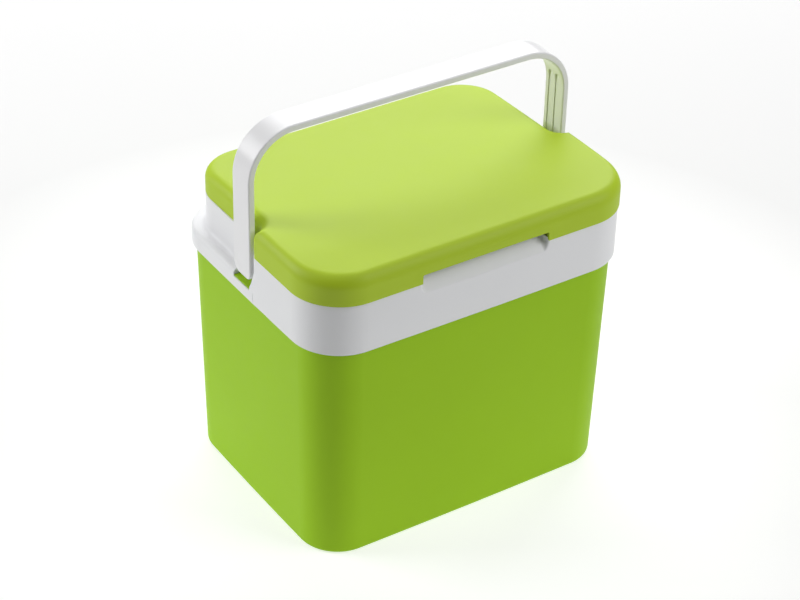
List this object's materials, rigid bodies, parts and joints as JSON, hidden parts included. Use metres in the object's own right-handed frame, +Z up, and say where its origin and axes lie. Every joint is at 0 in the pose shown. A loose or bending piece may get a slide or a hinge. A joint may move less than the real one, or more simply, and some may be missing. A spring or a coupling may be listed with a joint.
{
  "type": "portable insulated cool box",
  "caption": "Small rigid cool box with a rounded green tub, pale collar, lift-off insulated lid, white liner and a swinging arched carrying handle.",
  "frame": {"origin": "on the ground under the middle of the box", "axes": "+Z up, -Y out of the front with the finger pocket, +X to the right of a person facing the front"},
  "size_m": [0.3016, 0.2329, 0.3503],
  "materials": {
    "green_plastic": "satin",
    "light_grey_plastic": "satin",
    "white_plastic": "satin",
    "foam": "matte",
    "handle_plastic": "gloss"
  },
  "bodies": {
    "tub": {"outer_tub": "green_plastic", "rim_collar": "light_grey_plastic", "inner_liner": "white_plastic", "insulation_floor": "foam", "insulation_front": "foam", "insulation_rear": "foam", "insulation_left": "foam", "insulation_right": "foam"},
    "lid": {"lid_cover": "green_plastic", "lid_liner": "white_plastic", "lid_insulation": "foam"},
    "handle": {"handle": "handle_plastic"}
  },
  "joints": [
    {"name": "handle_pivot", "type": "hinge", "parent": "tub", "child": "handle", "pos_m": [0, 0, 0.2333], "axis": [-1, 0, 0], "range_deg": [0, 90]},
    {"name": "lid_lift", "type": "slide", "parent": "tub", "child": "lid", "axis": [0, 0, 1], "range_m": [0, 0.055]}
  ]
}
